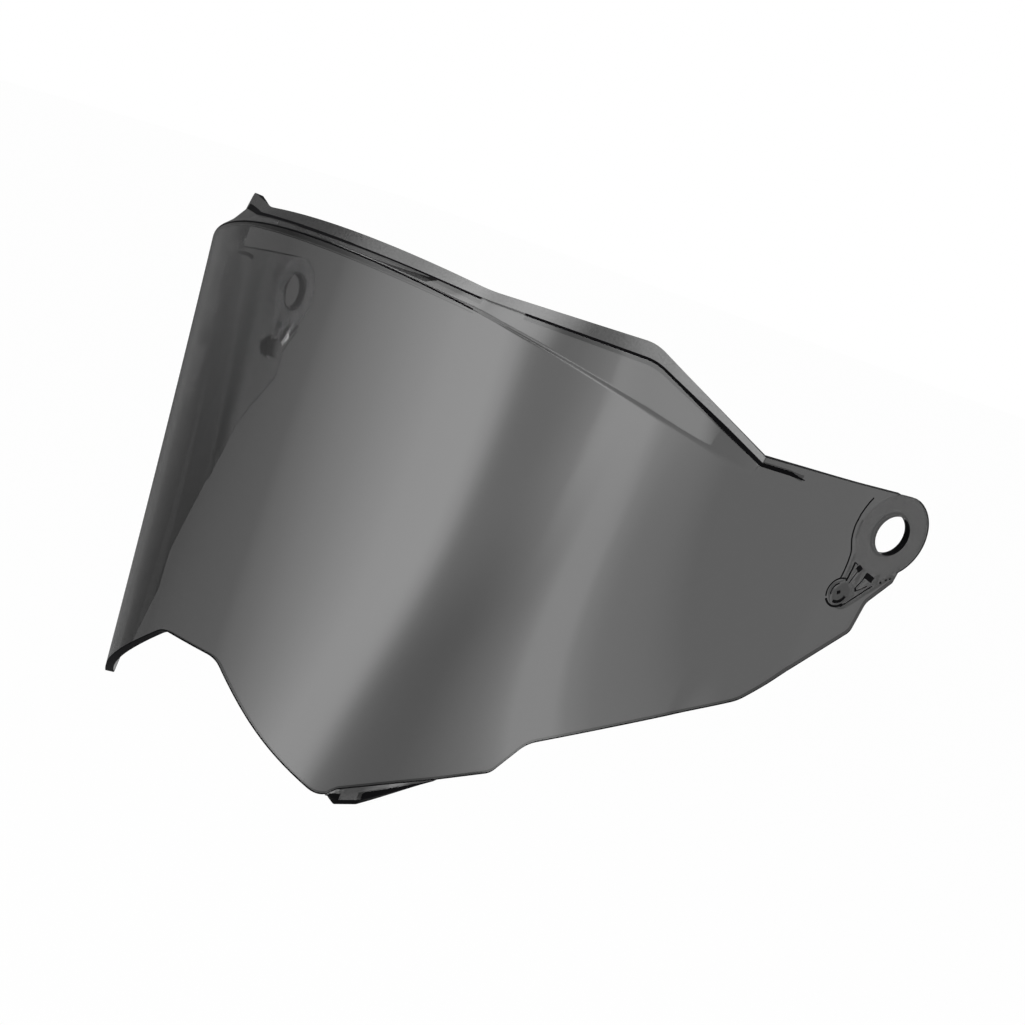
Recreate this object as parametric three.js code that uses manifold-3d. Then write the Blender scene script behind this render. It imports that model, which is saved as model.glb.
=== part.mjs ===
// Tinted visor of an adventure motorcycle helmet, with its two pivot plates and detent pegs.
// Millimetres, +Z up. The wearer looks along -Y, so the wearer's left is +X.
// The origin is the middle of the axis on which the visor turns on the helmet.

import * as THREE from 'three';
import { mergeVertices } from 'three/addons/utils/BufferGeometryUtils.js';
import Module from 'manifold-3d';

const wasm = await Module();
wasm.setup();

// Driving dimensions
const pivotSpan = 240; // across the outer faces at the pivot holes
const browRise = 26.5; // brow level above the pivot axis
const lobeDrop = 105; // lobe tips below the pivot axis
const sheet = 2.2; // wall thickness of the moulding
const clearance = 0.3; // gap between pieces that are fitted to each other
const overrun = 4; // how far a cutter runs past what it cuts

// Plan of the wall, drawn once at the level of the lobe tips and once at brow level.
// nose is the distance ahead of the pivot axis, cheek the half width where the arms begin.
const lobePlan = { nose: 110.5, noseHandle: 36, cheek: 88.5, cheekHandle: 87, cheekAngle: 36.5 };
const browPlan = { nose: 103, noseHandle: 47, cheek: 111.3, cheekHandle: 27, cheekAngle: 21 };
const cheekSetback = 34.5; // cheek line ahead of the pivot axis
const bendHandle = 7.5; // softness of the bend between cheek and arm
const armSetback = 13; // where the flat arm begins, ahead of the pivot axis
const armReach = 30; // length of the flat plane that the arm's end is cut from
const armFlareAngle = 14; // arms spread towards the rear
const armLeanAngle = 6.8; // arms spread towards the top

// Lower edge
const notchWidth = 21.6; // flat top of the notch over the nose
const notchRise = 23.3; // notch top above the lobe tips
const lobeSpan = 87.6; // between the two lobe tips
const stepSpan = 141.4; // between the outer ends of the lobes
const stepRise = 18.1; // outer end of a lobe above its tip
const stepSetback = 59.1; // top of the step, ahead of the pivot axis
const stepDrop = 76.9; // top of the step, below the pivot axis
const jawSetback = 22; // corner where the lower edge rises to the arm, ahead of the axis
const jawDrop = 51.2; // the same corner, below the axis
const bowSetback = 14.1; // highest point of the slight bow in the edge below the arm
const bowDrop = 41.3;
const tailDrop = 27; // rear corner of the arm, below the axis
const tailReach = 0.5; // rear corner of the arm, behind the axis
const throatDrop = 18.6; // hollow corner above the rear corner
const throatReach = 1.3;
const nibDrop = 11.4; // small nib where the web meets the disc
const nibReach = 7.1;
const notchRound = 3;
const lobeRound = 2.5;
const edgeRound = 4;
const tailRound = 1.2;
const nibRound = 0.7;

// Brow: the crease, the shelf behind it and the upright lip on the shelf
const creaseCrown = 26.8; // height of the crease at the nose
const creaseFall = 16.2; // how far it has dropped at creaseFallWidth from the middle
const creaseFallWidth = 92.5;
const lipFoot = { nose: 96, rise: 27.6 }; // shelf edge at the nose
const lipTop = { nose: 93.2, rise: 30.8 };
const kinkFoot = { half: 42.9, nose: 89.8, rise: 26 }; // shelf edge where the flat front ends
const kinkTop = { half: 42.3, nose: 86.9, rise: 28.5 };
const cornerFoot = { half: 78.8, nose: 61.4, rise: 24.7 }; // brow corner, above the temples
const cornerTop = { half: 76.9, nose: 62, rise: 28.5 };
const armTop = 10.8; // top edge of the arms above the axis
const flankEnd = 41.6; // where the flank runs into the arm, ahead of the axis
const flankFoot = 2; // lip height left at that point
const creaseRound = 1.4;
const lipRound = 0.9;
const kinkSoftShare = 0.02; // share of the front that rounds each brow kink
const bendRoomShare = 1 / 3; // most of a face that one of its roundings may use
const leastShare = 0.001; // columns closer than this are one

// Finger tab on the wearer's left lobe: half is the distance from the middle of the visor,
// reach runs from the bend to the free edge, and angle is outward from straight down.
const tabStart = { half: 45.4, reach: 0.35, angle: 0 };
const tabInner = { half: 47.7, reach: 3.9, angle: 60 };
const tabOuter = { half: 51.3, reach: 4.7, angle: 60 };
const tabEnd = { half: 62.2, reach: 0.35, angle: 30 };
const tabRise = 1.2; // its bend lies this far above the lobe's edge at the inner end
const tabOverlap = 2.5; // how far its root runs up inside the wall
const tabBury = 0.5; // how far the root lies below the wall's faces

// Pivot end of each arm, in the plane of its outer face
const discRadius = 11.3;
const discTipAngle = 6; // the disc ends in a flat this far either side of its tip
const boreRadius = 5.4;
const skin = 0.8; // wall left outside the pivot plate
const plateThickness = sheet - skin - clearance;
const padRadius = 11;
const pegSetback = 6.9; // peg ahead of the bore
const pegDrop = 18.2; // peg below the bore
const bossRadius = 3.7;
const bossRise = 0.8; // boss round the peg, proud of the plate
const strutOffset = 1.7; // outer face of the front strut, ahead of the peg's centre
const strutWidth = 1.6; // the strut below the pockets
const webReach = 7.1; // where that strut meets the disc, behind the bore
const webDrop = 10.8; // the same corner, below the bore
const pocketNearGap = 1; // solid round the peg's boss
const frontPocketAngles = { boss: [88, 60], ring: [-123.5, -107.5] }; // seen from the peg and from the bore
const rearPocketAngles = { boss: [37, 18], ring: [-95, -79] };
const pegShank = 1.9;
const pegHead = 2.9;
const pegHeadRise = 3.2;
const pegEdge = 0.6; // rounding of the peg's head

// Fineness
const wallRows = 4;
const edgeStep = 4.5; // spacing of the columns along the lower edge
const roundSteps = 3;
const bendSteps = 2;
const browSamples = 6; // points averaged where a brow kink is softened
const arcSteps = 9;
const circleSteps = 40;
const pegSteps = 28;

// The wall: a ruled sheet between its two plans.
// A station runs from 0 at the nose to 1 at the cheek, 2 at the flat arm and 3 past its end.
// The wearer's right has the same stations with a minus sign.

const lastStation = 3;
const flare = THREE.MathUtils.degToRad(armFlareAngle);
const lean = Math.tan(THREE.MathUtils.degToRad(armLeanAngle));
const armDirection = new THREE.Vector2(Math.sin(flare), Math.cos(flare));

function planPieces(plan, level) {
  const turn = THREE.MathUtils.degToRad(plan.cheekAngle);
  const cheekDirection = new THREE.Vector2(Math.sin(turn), Math.cos(turn));
  const nose = new THREE.Vector2(0, -plan.nose);
  const noseHandle = new THREE.Vector2(plan.noseHandle, -plan.nose);
  const cheek = new THREE.Vector2(plan.cheek, -cheekSetback);
  const cheekBefore = cheek.clone().addScaledVector(cheekDirection, -plan.cheekHandle);
  const cheekAfter = cheek.clone().addScaledVector(cheekDirection, bendHandle);
  const armX = pivotSpan / 2 - armSetback * Math.tan(flare) + level * lean;
  const arm = new THREE.Vector2(armX, -armSetback);
  const armBefore = arm.clone().addScaledVector(armDirection, -bendHandle);
  const armPast = arm.clone().addScaledVector(armDirection, armReach);
  return [
    new THREE.CubicBezierCurve(nose, noseHandle, cheekBefore, cheek),
    new THREE.CubicBezierCurve(cheek, cheekAfter, armBefore, arm),
    new THREE.LineCurve(arm, armPast),
  ];
}

const lobePieces = planPieces(lobePlan, -lobeDrop);
const browPieces = planPieces(browPlan, browRise);

function wallPoint(station, level) {
  const run = Math.min(Math.abs(station), lastStation);
  const piece = Math.min(Math.floor(run), lobePieces.length - 1);
  const share = (level + lobeDrop) / (browRise + lobeDrop);
  const low = lobePieces[piece].getPoint(run - piece);
  const high = browPieces[piece].getPoint(run - piece);
  const plan = low.lerp(high, share);
  return new THREE.Vector3(station < 0 ? -plan.x : plan.x, plan.y, level);
}

function stationAt(axis, value, level) {
  let low = 0;
  let high = lastStation;
  for (let halving = 0; halving < 40; halving += 1) {
    const middle = (low + high) / 2;
    if (wallPoint(middle, level)[axis] < value) low = middle;
    else high = middle;
  }
  return (low + high) / 2;
}

// Places on the arm's end, along and up from the bore
const pegCentre = new THREE.Vector2(-pegSetback, -pegDrop);
const webCorner = new THREE.Vector2(webReach, -webDrop);

// Pivot frame of the left arm: along the arm, up the arm and out of its face
const armAlong = new THREE.Vector3(armDirection.x, armDirection.y, 0);
const armOut = armAlong.clone().cross(new THREE.Vector3(lean, 0, 1)).normalize();
const armUp = armOut.clone().cross(armAlong);
const pivotPoint = new THREE.Vector3(pivotSpan / 2, 0, 0);
const leftPivotFrame = new THREE.Matrix4().makeBasis(armAlong, armUp, armOut).setPosition(pivotPoint);
const mirrorFrame = new THREE.Matrix4().makeScale(-1, 1, 1);
const rightPivotFrame = mirrorFrame.clone().multiply(leftPivotFrame).multiply(mirrorFrame);

function onArm(along, up) {
  const point = new THREE.Vector3(along, up, 0).applyMatrix4(leftPivotFrame);
  return new THREE.Vector2(stationAt('y', point.y, point.z), point.z);
}

// Lower edge and arm top as paths of station and level

function corner(axis, at, level, round) {
  return { axis, at, level, round, station: stationAt(axis, at, level) };
}

function alongLine(from, to, axis, share) {
  const start = axis === 'x' ? wallPoint(from.station, from.level).x : wallPoint(from.station, from.level).y;
  const end = axis === 'x' ? wallPoint(to.station, to.level).x : wallPoint(to.station, to.level).y;
  const at = THREE.MathUtils.lerp(start, end, share);
  const level = THREE.MathUtils.lerp(from.level, to.level, share);
  return new THREE.Vector2(stationAt(axis, at, level), level);
}

function roundedPath(corners, axes) {
  const path = [new THREE.Vector2(corners[0].station, corners[0].level)];
  for (let index = 1; index < corners.length; index += 1) {
    const from = corners[index - 1];
    const to = corners[index];
    const axis = axes[index - 1];
    const length = wallPoint(from.station, from.level).distanceTo(wallPoint(to.station, to.level));
    const startShare = from.round / length;
    const endShare = 1 - to.round / length;
    const steps = Math.max(1, Math.ceil((length * (endShare - startShare)) / edgeStep));
    for (let step = 0; step <= steps; step += 1) {
      const share = THREE.MathUtils.lerp(startShare, endShare, step / steps);
      const point = alongLine(from, to, axis, share);
      if (point.x > path[path.length - 1].x) path.push(point);
    }
    const after = corners[index + 1];
    if (after && to.round > 0) {
      const nextAxis = axes[index];
      const nextLength = wallPoint(to.station, to.level).distanceTo(wallPoint(after.station, after.level));
      const arriving = path[path.length - 1];
      const leaving = alongLine(to, after, nextAxis, to.round / nextLength);
      const bend = new THREE.Vector2(to.station, to.level);
      const turn = new THREE.QuadraticBezierCurve(arriving, bend, leaving);
      turn.getPoints(roundSteps).slice(1, -1).forEach((point) => path.push(point));
    }
  }
  return path;
}

const discArc = [];
const tipAngle = THREE.MathUtils.degToRad(discTipAngle);
for (let step = 0; step <= arcSteps; step += 1) {
  const angle = THREE.MathUtils.lerp(Math.PI / 2, tipAngle, step / arcSteps);
  discArc.push(new THREE.Vector2(discRadius * Math.cos(angle), discRadius * Math.sin(angle)));
}

const nib = corner('y', nibReach, -nibDrop, nibRound);
const lowerCorners = [
  corner('x', 0, notchRise - lobeDrop, 0),
  corner('x', notchWidth / 2, notchRise - lobeDrop, notchRound),
  corner('x', lobeSpan / 2, -lobeDrop, lobeRound),
  corner('x', stepSpan / 2, stepRise - lobeDrop, edgeRound),
  corner('y', -stepSetback, -stepDrop, edgeRound),
  corner('y', -jawSetback, -jawDrop, edgeRound),
  corner('y', -bowSetback, -bowDrop, edgeRound),
  corner('y', tailReach, -tailDrop, tailRound),
  corner('y', throatReach, -throatDrop, tailRound),
  nib,
];
const lowerAxes = ['x', 'x', 'x', 'y', 'y', 'y', 'y', 'y', 'y'];
const lowerPath = roundedPath(lowerCorners, lowerAxes);
discArc.forEach((point) => {
  const onEdge = onArm(point.x, -point.y);
  if (onEdge.x > lowerPath[lowerPath.length - 1].x) lowerPath.push(onEdge);
});

const flankStation = stationAt('y', -flankEnd, armTop);
const topPath = [new THREE.Vector2(flankStation, armTop)];
const armTopInPlane = armTop / armUp.z;
discArc.forEach((point) => {
  topPath.push(onArm(point.x, Math.min(point.y, armTopInPlane)));
});

function levelAt(path, station) {
  const next = path.findIndex((point) => point.x >= station);
  if (next < 0) return path[path.length - 1].y;
  if (next === 0) return path[0].y;
  const from = path[next - 1];
  const to = path[next];
  return THREE.MathUtils.mapLinear(station, from.x, to.x, from.y, to.y);
}

// The lobe's edge ends at the bend of the finger tab, a little higher than on the other side
function edgeLevel(station) {
  const level = levelAt(lowerPath, Math.abs(station));
  const half = wallPoint(station, level).x;
  const rise = tabRise * THREE.MathUtils.mapLinear(half, tabStart.half, tabEnd.half, 1, 0);
  return level + Math.max(Math.min(half - tabStart.half, rise), 0);
}

const tabPlaces = [tabStart, tabInner, tabOuter, tabEnd];

function tabStation(place) {
  const [, , lobeTip, lobeEnd] = lowerCorners;
  const share = (place.half - lobeTip.at) / (lobeEnd.at - lobeTip.at);
  return stationAt('x', place.half, THREE.MathUtils.lerp(lobeTip.level, lobeEnd.level, share));
}

// Brow lines. Between its named corners each line is straight, and the corners are softened.

function browPoint(place) {
  return new THREE.Vector3(place.half ?? 0, -place.nose, place.rise);
}

const kinkStation = stationAt('x', kinkFoot.half + sheet / 2, kinkFoot.rise - sheet);
const cornerStation = stationAt('x', cornerFoot.half + sheet * 2, cornerFoot.rise / 2);
const flankTop = wallPoint(flankStation, armTop);
const flankLow = wallPoint(flankStation, armTop - flankFoot);

function browLine(station, places) {
  const [nosePlace, kinkPlace, cornerPlace, endPlace] = places;
  const run = Math.abs(station);
  const point = new THREE.Vector3();
  if (run < kinkStation) {
    const share = run / kinkStation;
    point.lerpVectors(nosePlace, kinkPlace, share * share);
    point.x = kinkPlace.x * share;
  } else if (run < cornerStation) {
    point.lerpVectors(kinkPlace, cornerPlace, (run - kinkStation) / (cornerStation - kinkStation));
  } else {
    point.lerpVectors(cornerPlace, endPlace, (run - cornerStation) / (flankStation - cornerStation));
  }
  if (station < 0) point.x = -point.x;
  return point;
}

function softBrowLine(station, places) {
  const total = new THREE.Vector3();
  const reach = Math.min(kinkSoftShare, flankStation - Math.abs(station));
  for (let sample = 0; sample <= browSamples; sample += 1) {
    const shift = THREE.MathUtils.lerp(-reach, reach, sample / browSamples);
    total.add(browLine(station + shift, places));
  }
  return total.divideScalar(browSamples + 1);
}

const footPlaces = [browPoint(lipFoot), browPoint(kinkFoot), browPoint(cornerFoot), flankLow];
const topPlaces = [browPoint(lipTop), browPoint(kinkTop), browPoint(cornerTop), flankTop];

function creaseLevel(station) {
  const half = wallPoint(Math.abs(station), browRise / 2).x;
  return creaseCrown - creaseFall * (half / creaseFallWidth) ** 2;
}

const flankLowLevel = levelAt(lowerPath, flankStation);
const creaseShare = (creaseLevel(flankStation) - flankLowLevel) / (armTop - flankLowLevel);
const footShare = (armTop - flankFoot - flankLowLevel) / (armTop - flankLowLevel);

// The three points above the wall at a station: crease, foot of the lip and top of the lip
function browSection(station, lowLevel) {
  if (Math.abs(station) < flankStation) {
    return [
      wallPoint(station, creaseLevel(station)),
      softBrowLine(station, footPlaces),
      softBrowLine(station, topPlaces),
    ];
  }
  const topLevel = levelAt(topPath, Math.abs(station));
  return [creaseShare, footShare, 1].map((share) => (
    wallPoint(station, THREE.MathUtils.lerp(lowLevel, topLevel, share))
  ));
}

function roundedBend(before, bend, after, radius) {
  const room = Math.min(bend.distanceTo(before), bend.distanceTo(after));
  const reach = Math.min(radius, room * bendRoomShare);
  const start = bend.clone().add(before.clone().sub(bend).setLength(reach));
  const end = bend.clone().add(after.clone().sub(bend).setLength(reach));
  return new THREE.QuadraticBezierCurve3(start, bend, end).getPoints(bendSteps);
}

function sectionAt(station) {
  const lowLevel = edgeLevel(station);
  const [crease, foot, top] = browSection(station, lowLevel);
  const rows = [];
  for (let row = 0; row < wallRows; row += 1) {
    rows.push(wallPoint(station, THREE.MathUtils.lerp(lowLevel, crease.z, row / wallRows)));
  }
  rows.push(...roundedBend(rows[wallRows - 1], crease, foot, creaseRound));
  rows.push(...roundedBend(crease, foot, top, lipRound), top);
  return rows;
}

// Columns of the grid: every corner of both edges, from the right arm round to the left

function columnStations() {
  const marks = [...lowerPath, ...topPath].map((point) => point.x);
  [kinkStation, cornerStation].forEach((station) => {
    marks.push(station - kinkSoftShare, station, station + kinkSoftShare);
  });
  tabPlaces.forEach((place) => marks.push(tabStation(place)));
  marks.push(tabStation({ half: tabStart.half + tabRise }));
  const end = Math.min(lowerPath[lowerPath.length - 1].x, topPath[topPath.length - 1].x);
  const half = marks.filter((mark) => mark > leastShare && mark < end - leastShare).sort((a, b) => a - b);
  const spaced = half.filter((mark, index) => index === 0 || mark - half[index - 1] > leastShare);
  spaced.push(end);
  return [...spaced.map((mark) => -mark).reverse(), 0, ...spaced];
}

// Shell a grid of outer points by a thickness, measured square to each face
function shellGeometry(columns, thickness) {
  const rowCount = columns[0].length;
  const inner = columns.map((column, index) => {
    const before = columns[Math.max(index - 1, 0)];
    const after = columns[Math.min(index + 1, columns.length - 1)];
    return column.map((point, row) => {
      const across = after[row].clone().sub(before[row]);
      const below = point.clone().sub(column[Math.max(row - 1, 0)]);
      const above = column[Math.min(row + 1, rowCount - 1)].clone().sub(point);
      const lowSpan = row === 0 ? above : below;
      const highSpan = row === rowCount - 1 ? below : above;
      const lowNormal = across.clone().cross(lowSpan).normalize();
      const highNormal = across.clone().cross(highSpan).normalize();
      const normal = lowNormal.clone().add(highNormal).normalize();
      return point.clone().addScaledVector(normal, -thickness / normal.dot(lowNormal));
    });
  });
  const positions = [];
  [columns, inner].forEach((grid) => grid.forEach((column) => column.forEach((point) => {
    positions.push(point.x, point.y, point.z);
  })));
  const layer = columns.length * rowCount;
  const indices = [];
  const quad = (a, b, c, d) => indices.push(a, b, c, a, c, d);
  const last = columns.length - 1;
  for (let index = 0; index < last; index += 1) {
    const here = index * rowCount;
    const there = here + rowCount;
    for (let row = 0; row < rowCount - 1; row += 1) {
      quad(here + row, there + row, there + row + 1, here + row + 1);
      quad(layer + here + row, layer + here + row + 1, layer + there + row + 1, layer + there + row);
    }
    const top = rowCount - 1;
    quad(here, layer + here, layer + there, there);
    quad(here + top, there + top, layer + there + top, layer + here + top);
  }
  for (let row = 0; row < rowCount - 1; row += 1) {
    const end = last * rowCount + row;
    quad(row, row + 1, layer + row + 1, layer + row);
    quad(end, layer + end, layer + end + 1, end + 1);
  }
  const geometry = new THREE.BufferGeometry();
  geometry.setAttribute('position', new THREE.Float32BufferAttribute(positions, 3));
  geometry.setIndex(indices);
  return geometry;
}

// Solids for joining and cutting

function toSolid(geometry) {
  const bare = geometry.clone();
  bare.deleteAttribute('normal');
  bare.deleteAttribute('uv');
  const merged = mergeVertices(bare);
  return new wasm.Manifold(new wasm.Mesh({
    numProp: 3,
    vertProperties: new Float32Array(merged.attributes.position.array),
    triVerts: new Uint32Array(merged.index.array),
  }));
}

function toGeometry(solid) {
  const mesh = solid.getMesh();
  const geometry = new THREE.BufferGeometry();
  geometry.setAttribute('position', new THREE.BufferAttribute(mesh.vertProperties, 3));
  geometry.setIndex(new THREE.BufferAttribute(mesh.triVerts, 1));
  geometry.computeVertexNormals();
  return geometry;
}

function mirrored(geometry) {
  const copy = geometry.index ? geometry.clone() : mergeVertices(geometry.clone());
  copy.applyMatrix4(mirrorFrame);
  const order = copy.index.array;
  for (let first = 0; first < order.length; first += 3) {
    [order[first + 1], order[first + 2]] = [order[first + 2], order[first + 1]];
  }
  return copy;
}

// Finger tab: a short flange that turns outward from the left lobe's lower edge
function tabGeometry() {
  const rings = tabPlaces.map((place) => {
    const angle = THREE.MathUtils.degToRad(place.angle);
    const station = tabStation(place);
    const root = wallPoint(station, edgeLevel(station));
    const beside = wallPoint(station + kinkSoftShare, root.z).sub(root);
    const rise = wallPoint(station, root.z + tabOverlap).sub(root).normalize();
    const out = beside.cross(rise).normalize();
    const flange = rise.clone().multiplyScalar(-Math.cos(angle)).addScaledVector(out, Math.sin(angle));
    const under = rise.clone().multiplyScalar(-Math.sin(angle)).addScaledVector(out, -Math.cos(angle));
    const inside = out.clone().negate();
    const tip = root.clone().addScaledVector(flange, place.reach);
    const mitre = inside.clone().add(under).multiplyScalar(sheet / (1 + Math.cos(angle)));
    return [
      root.clone().addScaledVector(rise, tabOverlap).addScaledVector(inside, tabBury),
      root,
      tip,
      tip.clone().addScaledVector(under, sheet),
      root.clone().add(mitre),
      root.clone().addScaledVector(rise, tabOverlap).addScaledVector(inside, sheet - tabBury),
    ];
  });
  return loftGeometry(rings);
}

// Closed solid through rings of equal count, with flat ends
function loftGeometry(rings) {
  const count = rings[0].length;
  const positions = rings.flat().flatMap((point) => [point.x, point.y, point.z]);
  const indices = [];
  for (let ring = 0; ring < rings.length - 1; ring += 1) {
    for (let side = 0; side < count; side += 1) {
      const next = (side + 1) % count;
      const here = ring * count;
      const there = here + count;
      indices.push(here + side, here + next, there + next, here + side, there + next, there + side);
    }
  }
  const end = (rings.length - 1) * count;
  for (let side = 1; side < count - 1; side += 1) {
    indices.push(0, side + 1, side);
    indices.push(end, end + side, end + side + 1);
  }
  const geometry = new THREE.BufferGeometry();
  geometry.setAttribute('position', new THREE.Float32BufferAttribute(positions, 3));
  geometry.setIndex(indices);
  return geometry;
}

// Pivot plate outline: a pad round the bore, two struts and a boss round the peg.
// It follows the disc at the rear and the arm's edge at the top, and grow widens its other sides.
function plateShape(rearRadius, top, grow) {
  const pad = padRadius + grow;
  const boss = bossRadius + grow;
  const strut = pegCentre.x - strutOffset - grow;
  const topRear = Math.asin(top / rearRadius);
  const topFront = Math.PI - Math.asin(Math.min(top / pad, 1));
  const padEnd = 2 * Math.PI - Math.acos(strut / pad);
  const bossStart = Math.acos((strut - pegCentre.x) / boss);
  const toCorner = webCorner.clone().sub(pegCentre);
  const bossEnd = 2 * Math.PI + toCorner.angle() - Math.acos(boss / toCorner.length());
  const shape = new THREE.Shape();
  shape.absarc(0, 0, rearRadius, webCorner.angle() - 2 * Math.PI, topRear, false);
  shape.absarc(0, 0, pad, topFront, padEnd, false);
  shape.absarc(pegCentre.x, pegCentre.y, boss, bossStart, bossEnd, false);
  shape.closePath();
  return shape;
}

function circleHole(x, y, radius) {
  const hole = new THREE.Path();
  hole.absarc(x, y, radius, 0, 2 * Math.PI, true);
  return hole;
}

function polar(centre, radius, degrees) {
  const angle = THREE.MathUtils.degToRad(degrees);
  return new THREE.Vector2(Math.cos(angle), Math.sin(angle)).multiplyScalar(radius).add(centre);
}

// An open pocket between the ring and the boss. The rear one also stops short of the lower strut.
function pocketHole(angles, besideStrut) {
  const bore = new THREE.Vector2();
  const near = bossRadius + pocketNearGap;
  const [bossLeft, bossRight] = angles.boss.map((angle) => polar(pegCentre, near, angle));
  const [ringLeft, ringRight] = angles.ring.map((angle) => polar(bore, padRadius, angle));
  const corners = [bossLeft, ringLeft, ringRight];
  if (besideStrut) {
    const strutLine = webCorner.clone().sub(pegCentre);
    const strutTurn = Math.asin(bossRadius / strutLine.length());
    const strutAngle = strutLine.angle() + strutTurn;
    const out = ringRight.clone().normalize();
    const inward = new THREE.Vector2(-Math.sin(strutAngle), Math.cos(strutAngle));
    const reach = (strutWidth + webCorner.dot(inward)) / out.dot(inward);
    corners.push(out.multiplyScalar(reach));
  }
  corners.push(bossRight);
  const hole = new THREE.Path();
  hole.setFromPoints(corners);
  hole.closePath();
  return hole;
}

function extruded(shape, depth, from) {
  const curveSegments = circleSteps / 2;
  const geometry = new THREE.ExtrudeGeometry(shape, { depth, bevelEnabled: false, curveSegments });
  geometry.translate(0, 0, from);
  return geometry;
}

function plateGeometry() {
  const shape = plateShape(discRadius, armTopInPlane, 0);
  shape.holes.push(circleHole(0, 0, boreRadius));
  shape.holes.push(circleHole(pegCentre.x, pegCentre.y, pegShank + clearance));
  shape.holes.push(pocketHole(frontPocketAngles, false), pocketHole(rearPocketAngles, true));
  const boss = new THREE.Shape();
  boss.absarc(pegCentre.x, pegCentre.y, bossRadius, 0, 2 * Math.PI, false);
  boss.holes.push(circleHole(pegCentre.x, pegCentre.y, pegShank + clearance));
  const plate = toSolid(extruded(shape, plateThickness, -sheet));
  const bossSolid = toSolid(extruded(boss, bossRise + plateThickness, -sheet - bossRise));
  return toGeometry(plate.add(bossSolid));
}

function pegGeometry() {
  const seat = plateThickness;
  const headFoot = seat + bossRise + clearance;
  const headTop = headFoot + pegHeadRise;
  const profile = [
    new THREE.Vector2(0, 0),
    new THREE.Vector2(pegShank, 0),
    new THREE.Vector2(pegShank, headFoot),
    new THREE.Vector2(pegHead, headFoot),
    new THREE.Vector2(pegHead, headTop - pegEdge),
    new THREE.Vector2(pegHead - pegEdge, headTop),
    new THREE.Vector2(0, headTop),
  ];
  const geometry = new THREE.LatheGeometry(profile, pegSteps);
  geometry.rotateX(-Math.PI / 2);
  geometry.translate(pegCentre.x, pegCentre.y, -skin - clearance);
  return geometry;
}

function shieldGeometry() {
  const columns = columnStations().map(sectionAt);
  let shield = toSolid(shellGeometry(columns, sheet));
  shield = shield.add(toSolid(tabGeometry()));
  const bore = new THREE.Shape();
  bore.absarc(0, 0, boreRadius, 0, 2 * Math.PI, false);
  const boreCut = extruded(bore, sheet + 2 * overrun, -sheet - overrun);
  const seatShape = plateShape(discRadius + overrun, armTopInPlane + overrun, clearance);
  const seatCut = extruded(seatShape, sheet + overrun - skin, -sheet - overrun);
  [boreCut, seatCut].forEach((cutter) => {
    shield = shield.subtract(toSolid(cutter.clone().applyMatrix4(leftPivotFrame)));
    shield = shield.subtract(toSolid(mirrored(cutter).applyMatrix4(rightPivotFrame)));
  });
  return toGeometry(shield);
}

// Assembly

const smoke = new THREE.MeshStandardMaterial({ color: 0x3a3b3d, roughness: 0.08, metalness: 0 });
const darkSmoke = new THREE.MeshStandardMaterial({ color: 0x232426, roughness: 0.25, metalness: 0 });

function named(name, geometry, material) {
  const mesh = new THREE.Mesh(geometry, material);
  mesh.name = name;
  return mesh;
}

function pivotSide(side, frame) {
  const group = new THREE.Group();
  const handed = side === 'left' ? (geometry) => geometry : mirrored;
  group.add(named(`${side}_pivot_plate`, handed(plateGeometry()), smoke));
  group.add(named(`${side}_detent_peg`, handed(pegGeometry()), darkSmoke));
  group.applyMatrix4(frame);
  return group;
}

const group = new THREE.Group();
group.add(named('shield', shieldGeometry(), smoke));
group.add(pivotSide('left', leftPivotFrame));
group.add(pivotSide('right', rightPivotFrame));

export default group;
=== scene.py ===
import math

import bpy
from mathutils import Matrix, Vector


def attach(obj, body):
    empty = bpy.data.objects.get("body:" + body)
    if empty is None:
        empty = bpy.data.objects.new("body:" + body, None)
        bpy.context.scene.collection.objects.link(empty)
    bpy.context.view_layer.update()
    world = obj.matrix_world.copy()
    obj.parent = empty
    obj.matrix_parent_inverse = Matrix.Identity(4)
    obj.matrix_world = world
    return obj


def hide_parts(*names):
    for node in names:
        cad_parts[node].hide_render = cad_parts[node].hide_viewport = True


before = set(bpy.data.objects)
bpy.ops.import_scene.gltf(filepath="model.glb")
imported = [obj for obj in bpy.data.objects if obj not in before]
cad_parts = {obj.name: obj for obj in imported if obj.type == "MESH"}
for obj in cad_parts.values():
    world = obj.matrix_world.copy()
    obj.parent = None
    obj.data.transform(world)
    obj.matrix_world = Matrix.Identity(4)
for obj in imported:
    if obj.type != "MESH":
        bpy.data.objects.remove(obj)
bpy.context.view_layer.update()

bpy.ops.object.select_all(action="DESELECT")

# The camera stands ahead of the wearer's left, a little above the pivot axis, and leans to one side.
# It is fitted to the two pivot holes and to the pairs of corners that the visor has on both sides.
camera_place = Vector((0.49202421, -0.58045854, 0.06465331))
camera_right = Vector((0.6974545, 0.6473165, 0.3074712))
camera_up = Vector((-0.3156414, -0.1077087, 0.9427456))
camera_back = Vector((0.6433721, -0.7545729, 0.1291980))

bpy.ops.object.camera_add()
camera = bpy.context.object
camera.name = "camera"
camera.data.lens = 94.99
camera.data.sensor_width = 36
camera.matrix_world = Matrix.Translation(camera_place) @ Matrix(
    (camera_right, camera_up, camera_back)
).transposed().to_4x4()
bpy.context.scene.camera = camera
bpy.context.scene.view_settings.view_transform = "Standard"

# The studio is a white surround, which the camera, the gloss and the tint all see at full white.
# The visor's other light comes from it at a plain level.
world_level = 0.7


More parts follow.
